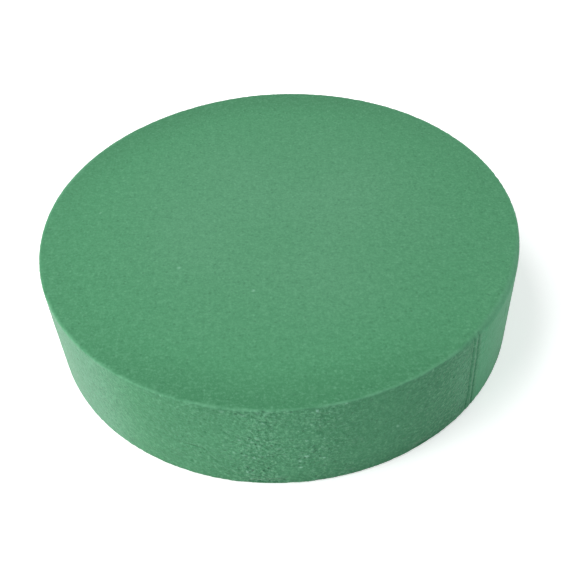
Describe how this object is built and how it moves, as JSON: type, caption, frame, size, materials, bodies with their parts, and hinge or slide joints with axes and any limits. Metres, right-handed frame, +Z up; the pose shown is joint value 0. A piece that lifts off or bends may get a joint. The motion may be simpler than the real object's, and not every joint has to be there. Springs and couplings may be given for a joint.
{
  "type": "floral foam disc",
  "caption": "Round disc of dry green floral foam with flat faces and a straight bare wall, which holds cut flower stems.",
  "frame": {"origin": "middle of the base, on the surface that the disc rests on", "axes": "+Z up along the disc's axis, from the base to the top face; the cutting seam on the wall lies between +X and -Y"},
  "size_m": [0.2, 0.2, 0.045],
  "materials": {
    "foam": "matte open-cell phenolic foam, bare cut faces with fine grain and small pits"
  },
  "bodies": {
    "root": {"foam_disc": "foam"}
  },
  "joints": []
}
